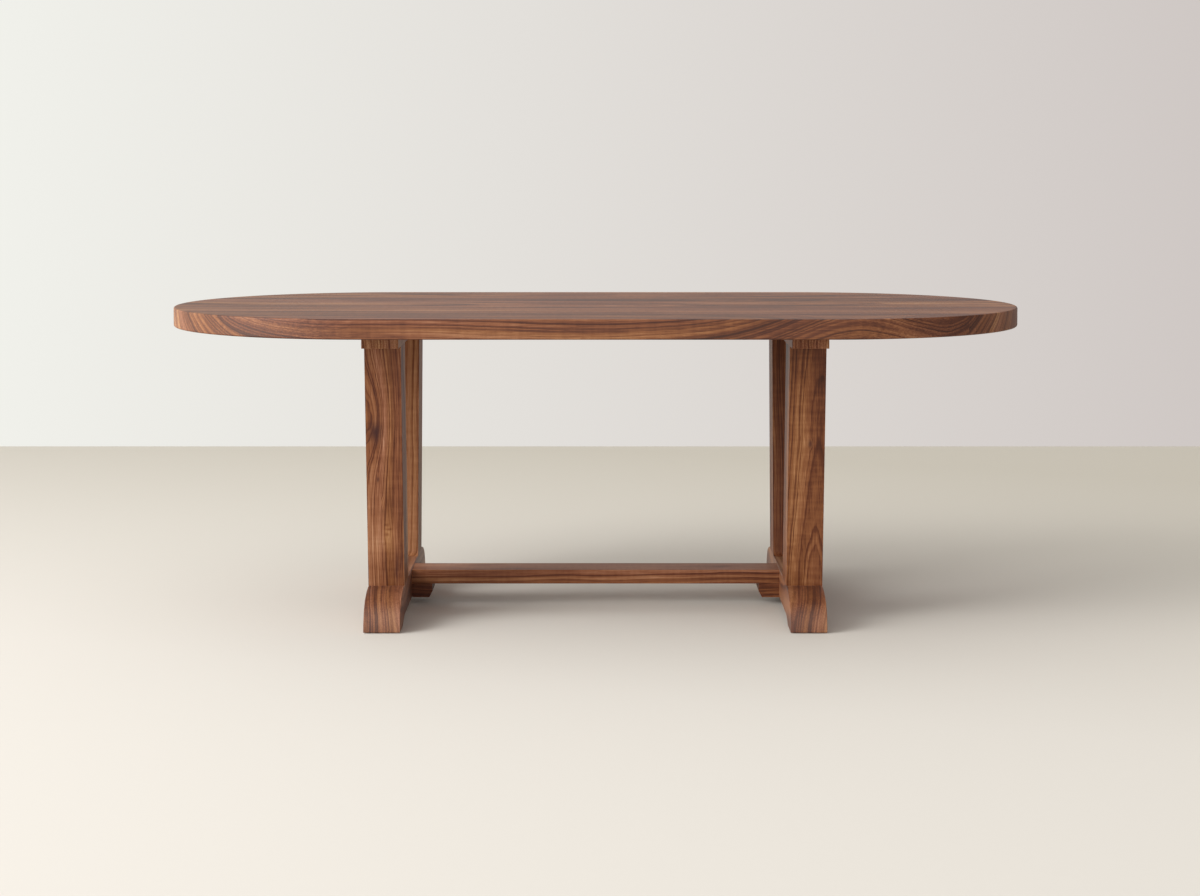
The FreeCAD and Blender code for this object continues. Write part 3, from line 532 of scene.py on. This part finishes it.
# %% [markdown]
# The top is a slab with straight sides and half-round ends, glued up from boards. Boards drawn one by one
# might not meet in one smooth curve, so the whole slab is drawn for each, its rim is rounded, and saw cuts
# leave the board. The glue lines are flush, so only the grain will show them.

# %% The slab and the saw
TOP_ROUND, TOP_ROUND_STEPS, CUT_TOLERANCE = 0.004, 4, 1e-7
board_names = sorted(n for n in nodes if n.startswith("top_board_"))
top_low = Vector(map(min, *(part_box(n)[0] for n in board_names)))
top_high = Vector(map(max, *(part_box(n)[1] for n in board_names)))
end_radius = (top_high.y - top_low.y) / 2
end_centre = top_high.x - end_radius


def oval_slab():
    """The whole top, with its upper and lower rim rounded."""
    bm = bmesh.new()
    low = top_low.z
    right_end = Arc(Vector((end_centre, 0, low)), Z_AXIS, math.pi)
    left_end = Arc(Vector((-end_centre, 0, low)), Z_AXIS, math.pi)
    face = draw(bm, (end_centre, -end_radius, low), right_end, (-end_centre, end_radius, low), left_end)
    thicken(bm, face, (0, 0, top_high.z - low))
    soften(bm, TOP_ROUND, TOP_ROUND_STEPS, lambda edge: not spans(edge, Z_AXIS))
    return bm


def saw(bm, level, side):
    """Cut the slab at a level of Y, drop what lies to that side of it and close the cut."""
    geometry = bm.verts[:] + bm.edges[:] + bm.faces[:]
    cut = bmesh.ops.bisect_plane(bm, geom=geometry, dist=CUT_TOLERANCE, plane_co=(0, level, 0),
                                 plane_no=(0, side, 0), clear_outer=True)
    bmesh.ops.holes_fill(bm, edges=only(bmesh.types.BMEdge, cut["geom_cut"]), sides=0)


print("slab with ends of", round(end_radius, 3), "m radius, for", len(board_names), "boards")

# %% [markdown]
# The photograph shows one unbroken figure along the front edge, so the front boards come from one plank
# whose heart lies above that edge: its lines slant at the round ends. The hearts of the other boards lie
# above and below in turn and tilt a little, which gives long pointed arches. One walnut for the whole top
# would hide that it is glued up, so every board has its own tone. Wide marks paint light and shade into
# the wood's colour: painted light on both tips of the oval, and painted shade towards its right end and
# along the front edge, deepest near the left end under the edge's reflection. One more bends the rings to
# an arch near the right end of the front edge, and paints a little light there.

# %% Top boards
BOARD_TONES = (-0.04, -0.03, -0.04, -0.09, 0.02, -0.06, 0.03, -0.02)
BOARD_TILT, BOARD_GLOSS, BOARD_SEED = 0.028, 0.38, 3.7
BOARD_FIGURE = dict(spacing=0.008, wander=0.045, reach=1.1)
HEART_AWAY, HEART_SWAY, HEART_TURN = 0.15, 0.05, 2.1
PLANK_BOARDS, PLANK_OUT, PLANK_UP = 3, 0.038, 0.256
PLANK_FIGURE = dict(grain=(0, 0.012, 0), heart=(0, top_low.y - PLANK_OUT, top_low.z + PLANK_UP), seed=2.0,
                    spacing=0.009, wander=0.06, reach=1.6)
TIP_OUT, FRONT_OUT = 0.034, 0.008
middle, front = (top_low.z + top_high.z) / 2, top_low.y - FRONT_OUT
# Painted light on both tips of the oval, and painted shade towards its right end.
BOARD_PAINTED_LIGHT_AND_SHADE = [Mark((top_low.x - TIP_OUT, 0, middle), (0.14, ACROSS_ALL, THROUGH), lift=0.10),
               Mark((top_high.x + TIP_OUT, 0, middle), (0.12, ACROSS_ALL, THROUGH), lift=0.07),
               Mark((0.75, 0, middle), (0.30, ACROSS_ALL, THROUGH), lift=-0.05)]
# Painted shade along the front edge, deepest near the left under its reflection, and an arch of the rings
# near the right with a little painted light.
FRONT_ARCH_AND_PAINTED_SHADING = [Mark((-0.74, front, middle), (0.15, 0.07, THROUGH), lift=-0.17),
               Mark((0.0, front, middle), (0.8, 0.06, THROUGH), lift=-0.06),
               Mark((0.62, front, middle), (0.14, 1.0, THROUGH), swell=0.085, lift=0.05)]
for number, node in enumerate(board_names):
    low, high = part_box(node)
    board = oval_slab()
    if node != board_names[0]:
        saw(board, low.y, -1)
    if node != board_names[-1]:
        saw(board, high.y, 1)
    above = 1 if number % 2 else -1
    aside = HEART_SWAY * math.cos(HEART_TURN * number)
    heart = (0, (low.y + high.y) / 2 + aside, top_low.z + above * HEART_AWAY)
    figured = dict(BOARD_FIGURE, grain=(0, above * BOARD_TILT, 0), heart=heart, seed=BOARD_SEED * number)
    if number < PLANK_BOARDS:
        figured = PLANK_FIGURE
    marks = BOARD_PAINTED_LIGHT_AND_SHADE + FRONT_ARCH_AND_PAINTED_SHADING if number == 0 else BOARD_PAINTED_LIGHT_AND_SHADE
    wood = walnut(node, tone=BOARD_TONES[number], gloss=BOARD_GLOSS, marks=marks, **figured)
    finish_piece(board, node, wood)

# %% [markdown]
# A post leans outwards and spreads at its inner side into the foot and the bearer with a small hollow. A
# straight bar with corner pieces would show seams that the real post doesn't have, so its side view is
# drawn as one outline, with the hollows as arcs that touch their neighbours. It is drawn for the rear.

# %% The outline of a post
POST_DEPTH, FOOT_HOLLOW, HEAD_HOLLOW = 0.116, 0.016, 0.012
FOOT_REACH = 0.270
head_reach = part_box("left_rear_post")[1].y
seat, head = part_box("left_foot")[1].z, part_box("left_bearer")[0].z
lean = math.atan((head_reach - FOOT_REACH) / (head - seat))


def post_outline(bm, x):
    """The side view of a rear post, from the foot's deck to the bearer."""
    secant, slope = 1 / math.cos(lean), math.tan(lean)
    inner_foot, inner_head = FOOT_REACH - POST_DEPTH * secant, head_reach - POST_DEPTH * secant
    foot_run, head_run = FOOT_HOLLOW * (secant - slope), HEAD_HOLLOW * (secant + slope)
    foot_end, head_end = inner_foot - foot_run, inner_head - head_run
    foot_touch = (x, inner_foot + foot_run * math.sin(lean), seat + foot_run * math.cos(lean))
    head_hollow = Arc(Vector((x, head_end, head - HEAD_HOLLOW)), X_AXIS, -(math.pi / 2 + lean))
    foot_hollow = Arc(Vector((x, foot_end, seat + FOOT_HOLLOW)), X_AXIS, -(math.pi / 2 - lean))
    return draw(bm, (x, foot_end, seat), (x, FOOT_REACH, seat), (x, head_reach, head), (x, head_end, head),
                head_hollow, foot_touch, foot_hollow)


print("posts of", round(head - seat, 4), "m that lean by", round(math.degrees(lean), 2), "degrees")

# %% [markdown]
# The front posts carry the marks that the eye finds first. On the left one lines fan round a knot, with
# a golden patch of small curls and two dark streaks below it, and the right one has a pin knot among fine
# arches. A scan of real boards could show them line for line, but it would fit only one face. Here each
# is a mark at a height above the floor and a way from the post's middle, and goes through the post. The
# head of the right one also gets a painted shadow, a darker band where the top shades it.

# %% Marks of the front posts
POST_THROUGH = 0.2


def middle_x(node):
    """Where the middle of a piece lies along X."""
    low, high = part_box(node)
    return (low.x + high.x) / 2


left_middle, right_middle = middle_x("left_front_post"), middle_x("right_front_post")


def front_mark(x, y, height, wide, tall, **change):
    """A mark that goes through a front post."""
    return Mark((x, y, height), (wide, POST_THROUGH, tall), **change)


def left_mark(aside, height, wide, tall, y=-FOOT_REACH, **change):
    """A mark of the left front post."""
    return front_mark(left_middle + aside, y, height, wide, tall, **change)


KNOT_MARKS = [left_mark(-0.016, 0.515, 0.024, 0.080, y=-0.31, swell=-0.036),
              left_mark(-0.015, 0.4775, 0.0105, 0.017, y=-0.315, dark=0.95),
              left_mark(-0.019, 0.435, 0.024, 0.055, y=-0.30, lift=-0.11),
              left_mark(0.002, 0.452, 0.004, 0.012, y=-0.30, lift=0.18),
              left_mark(-0.011, 0.361, 0.0025, 0.005, dark=0.7)]
CURL_MARKS = [left_mark(-0.001, 0.206, 0.028, 0.032, lift=0.23),
              left_mark(-0.004, 0.148, 0.030, 0.024, lift=-0.07),
              left_mark(-0.003, 0.306, 0.004, 0.010, swell=0.004, lift=0.20),
              left_mark(0.012, 0.236, 0.011, 0.020, swell=0.003, lift=0.14),
              left_mark(0.0075, 0.2475, 0.0045, 0.0024, lift=-0.24),
              left_mark(0.013, 0.2370, 0.0060, 0.0020, lift=-0.28),
              left_mark(0.008, 0.2240, 0.0040, 0.0028, lift=-0.22)]
STREAK_MARKS = [left_mark(0.031, 0.140, 0.0028, 0.030, lift=-0.15, dark=0.6),
                left_mark(0.042, 0.155, 0.0022, 0.034, lift=-0.15, dark=0.45)]
PIN_KNOT = front_mark(right_middle + 0.014, -0.32, 0.449, 0.0035, 0.007, swell=0.005, dark=0.8)
# Painted shadow of the top across the head of the right front post.
PAINTED_HEAD_SHADOW = Mark((right_middle + 0.004, -0.33, 0.70), (0.2, 0.4, 0.10), lift=-0.27)
print("marks on the left front post:", len(KNOT_MARKS + CURL_MARKS + STREAK_MARKS))

# %% [markdown]
# The four posts are the same shape, and the front pair is the rear one mirrored, which turns the mesh
# inside out, so its normals are worked out again. Only the edges that climb are softened, because the
# level ones close the joints with foot and bearer. The grain follows the lean, as it does in a post that
# is cut along its plank. In the right front one it stands a little steeper, which gives pointed arches.

# %% Posts
HEART_HEIGHT = 0.39
GRAIN_TILT = {"right_front": 0.038}
POST_WOOD = {
    "left_front": dict(heart=(left_middle - 0.149, -0.27, HEART_HEIGHT), seed=0.2, tone=0.12, curl=0.2,
                       spacing=0.005, marks=KNOT_MARKS + CURL_MARKS + STREAK_MARKS),
    "left_rear": dict(heart=(left_middle - 0.169, 0.33, HEART_HEIGHT), seed=1.3, tone=0.16, spacing=0.010),
    "right_front": dict(heart=(right_middle + 0.025, -0.235, HEART_HEIGHT), seed=2.1, tone=0.02,
                        spacing=0.0042, curl=0.3, wander=0.022, marks=[PIN_KNOT, PAINTED_HEAD_SHADOW]),
    "right_rear": dict(heart=(right_middle + 0.269, 0.30, HEART_HEIGHT), seed=3.2, tone=-0.16, spacing=0.006),
}
for corner, figured in POST_WOOD.items():
    node = f"{corner}_post"
    low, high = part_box(node)
    way = 1 if corner.endswith("rear") else -1
    post = bmesh.new()
    thicken(post, post_outline(post, low.x), (high.x - low.x, 0, 0))
    bmesh.ops.scale(post, vec=(1, way, 1), verts=post.verts)
    bmesh.ops.recalc_face_normals(post, faces=post.faces)
    soften(post, chosen=lambda edge: spans(edge, Z_AXIS))
    grain = (way * lean + GRAIN_TILT.get(corner, 0), math.pi / 2, 0)
    finish_piece(post, node, walnut(node, grain, **figured))

# %% [markdown]
# A foot's toe is two arcs, a tight one at the floor and a wide one that runs level into the deck. Under
# it, a shallow arch lifts the middle so that only two pads and their glides carry the table. A block with
# rounded corners would lose that long slope, so the side view is drawn from its arcs, each worked out so
# that it touches the next.

# %% The outline of a foot
TOE_RADIUS_SHARE = 0.88
PAD_LENGTH, RELIEF_RUN, RELIEF_DEPTH = 0.084, 0.068, 0.017
TO_FRONT = Vector((1, -1, 1))


def foot_outline(bm, x, floor_level, tip):
    """The side view of a foot, from the rear edge of its deck round by the rear toe."""
    toe = TOE_RADIUS_SHARE * (seat - floor_level)
    run, rise = tip - FOOT_REACH, seat - floor_level
    slope = (run ** 2 + rise ** 2 - 2 * run * toe) / (2 * (rise - toe))
    toe_centre, slope_centre = Vector((x, tip - toe, floor_level)), Vector((x, FOOT_REACH, seat - slope))
    meeting = math.atan2(toe_centre.z - slope_centre.z, toe_centre.y - slope_centre.y)
    arch = (RELIEF_RUN ** 2 + RELIEF_DEPTH ** 2) / (2 * RELIEF_DEPTH)
    soffit, pad_end = floor_level + RELIEF_DEPTH, tip - PAD_LENGTH
    level_end, rise_angle = pad_end - RELIEF_RUN, math.asin(RELIEF_RUN / arch)
    arch_centre = Vector((x, level_end, soffit - arch))
    return draw(bm, (x, FOOT_REACH, seat), Arc(slope_centre, X_AXIS, meeting - math.pi / 2),
                Arc(toe_centre, X_AXIS, -meeting), (x, pad_end, floor_level),
                Arc(arch_centre, X_AXIS, rise_angle), (x, -level_end, soffit),
                Arc(arch_centre * TO_FRONT, X_AXIS, rise_angle), (x, -tip, floor_level),
                Arc(toe_centre * TO_FRONT, X_AXIS, -meeting),
                Arc(slope_centre * TO_FRONT, X_AXIS, meeting - math.pi / 2))


print("foot with a toe radius of", TOE_RADIUS_SHARE, "of its height and pads of", PAD_LENGTH, "m")

# %% [markdown]
# The feet are of the same walnut with the grain along them, and a little glossier than the posts. On the
# photograph their decks darken in front of the posts, and their inner faces differ in tone: the left one
# is paler and the right one darker. Here that is painted: a painted shade on the decks in front of the
# posts, painted light on the left inner face and painted shade on the right one. Separate materials for
# one face would show a seam at its edges, so thin marks at those faces do it.

# %% Feet
FOOT_GLOSS, INNER_DEPTH, INNER_HEIGHT = 0.62, 0.006, 0.05
SHOULDER_OUT = 0.012
left_inner, right_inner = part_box("left_foot")[1].x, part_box("right_foot")[0].x
# Painted shade on each foot's deck just in front of its posts.
PAINTED_SHOULDER_SHADE = Mark((0, -FOOT_REACH - SHOULDER_OUT, seat), (ACROSS_ALL, 0.035, 0.030), lift=-0.10)


def painted_inner_shading(x, lift):
    """Painted light on the inner face of a foot where the lift is above zero, painted shade where it is
    below.
    """
    return Mark((x, 0, INNER_HEIGHT), (INNER_DEPTH, ACROSS_ALL, THROUGH), lift=lift)


# Painted light on the inner face of the left foot and painted shade on that of the right foot.
FOOT_WOOD = {
    "left_foot": dict(heart=(left_middle - 0.289, 0, 0.02), seed=0.4, tone=0.03,
                      marks=[painted_inner_shading(left_inner, 0.10), PAINTED_SHOULDER_SHADE]),
    "right_foot": dict(heart=(right_middle + 0.279, 0, 0.0), seed=1.9, tone=0.07,
                       marks=[painted_inner_shading(right_inner, -0.16), PAINTED_SHOULDER_SHADE]),
}
for node, figured in FOOT_WOOD.items():
    low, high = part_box(node)
    foot = bmesh.new()
    thicken(foot, foot_outline(foot, low.x, low.z, high.y), (high.x - low.x, 0, 0))
    soften(foot)
    wood = walnut(node, ALONG_Y, spacing=0.009, gloss=FOOT_GLOSS, **figured)
    finish_piece(foot, node, wood)

# %% [markdown]
# The stretcher is a plain rail between the feet, with a tenon at each end that lies inside them. A copy of
# its CAD solid would carry the hidden tenons along, so a cube is scaled to the part that shows, and its
# long edges are softened. The short ones close the joints with the feet.

# %% Stretcher
low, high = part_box("stretcher")
low.x, high.x = left_inner, right_inner
stretcher = bmesh.new()
bmesh.ops.create_cube(stretcher, size=1)
bmesh.ops.scale(stretcher, vec=high - low, verts=stretcher.verts)
bmesh.ops.translate(stretcher, vec=(low + high) / 2, verts=stretcher.verts)
soften(stretcher, chosen=lambda edge: spans(edge, X_AXIS))
wood = walnut("stretcher", grain=(0, 0.01, 0), heart=(0, 0.02, -0.12), seed=7.3, tone=0.08, spacing=0.014)
finish_piece(stretcher, "stretcher", wood)

# %% [markdown]
# The bearers and the blocks under the stretcher are bored for bolts and screws, and the bores show from
# below. Drawing them again would only repeat the CAD, so these solids stay and only get their walnut.

# %% Bearers and blocks
BEARER_WOOD = {"left_bearer": dict(heart=(left_middle - 0.309, 0, 0.66), seed=0.7, tone=0.13),
               "right_bearer": dict(heart=(right_middle + 0.329, 0, 0.68), seed=1.6, tone=0.18)}
BLOCK_WOOD = {"left_stretcher_block": dict(heart=(0, 0.06, -0.1), seed=0.1, tone=-0.14),
              "right_stretcher_block": dict(heart=(0, 0.06, -0.1), seed=2.6, tone=-0.14)}


def dress(node, material):
    """Give a CAD piece that stays its own finish."""
    nodes[node].data.materials.clear()
    nodes[node].data.materials.append(material)


for node, figured in BEARER_WOOD.items():
    dress(node, walnut(node, ALONG_Y, **figured))
for node, figured in BLOCK_WOOD.items():
    dress(node, walnut(node, ALONG_X, **figured))
print("walnut on", len(BEARER_WOOD) + len(BLOCK_WOOD), "CAD pieces")

# %% [markdown]
# The hardware is hidden or seen only from below, and the glides are no more than a thin line under a toe,
# so their CAD solids stay. One flat colour would do from afar, but plated and moulded surfaces vary, so
# zinc plate, brass, nylon and the pale wood of the tongues each get a finish that drifts a little in
# colour and roughness.

# %% Hardware, glides and tongues
DRIFT_DETAIL, DRIFT_LOW, DRIFT_HIGH, ROUGH_DRIFT = 3.0, 0.3, 0.7, 0.2


def mottled(name, dark, light, stretch, roughness, metallic=0.0):
    """A finish whose colour and roughness drift between two values."""
    material, tree, shader = new_material(name)
    place = add(tree, "ShaderNodeTexCoord").outputs["Object"]
    drift = stretched_noise(tree, place, stretch, DRIFT_DETAIL)
    tone = ramp(tree, drift, [(DRIFT_LOW, dark), (DRIFT_HIGH, light)])
    dulling = maths(tree, "MULTIPLY_ADD", drift, ROUGH_DRIFT, roughness - ROUGH_DRIFT / 2)
    tree.links.new(tone, shader.inputs["Base Color"])
    tree.links.new(dulling, shader.inputs["Roughness"])
    shader.inputs["Metallic"].default_value = metallic
    return material


zinc = mottled("zinc_plate", dark=(0.42, 0.42, 0.43), light=(0.62, 0.62, 0.63), stretch=(900, 900, 120),
               roughness=0.38, metallic=1.0)
brass = mottled("brass", dark=(0.50, 0.34, 0.12), light=(0.70, 0.52, 0.22), stretch=(400, 400, 400),
                roughness=0.35, metallic=1.0)
nylon = mottled("dark_nylon", dark=(0.020, 0.016, 0.013), light=(0.038, 0.030, 0.025),
                stretch=(300, 300, 300), roughness=0.55)
tongue_wood = mottled("tongue_wood", dark=(0.40, 0.26, 0.13), light=(0.58, 0.41, 0.23),
                      stretch=(6, 300, 300), roughness=0.6)
finishes = {"top_inserts": brass}
finishes.update(dict.fromkeys(("top_bolts", "top_washers", "stretcher_screws", "block_screws"), zinc))
finishes.update({node: nylon for node in nodes if node.endswith("_glide")})
finishes.update({node: tongue_wood for node in nodes if node.startswith("top_spline_")})
for node, finish in finishes.items():
    dress(node, finish)
print("hardware, glides and tongues:", len(finishes), "CAD pieces")

# %% [markdown]
# The dressed table has to fill the same box as its CAD frame. A look at the picture can't tell a
# millimetre, so the dressed box is measured and written out.

# %% Sizes
low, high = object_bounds()
print("dressed box", [round(x, 4) for x in (*low, *high)])
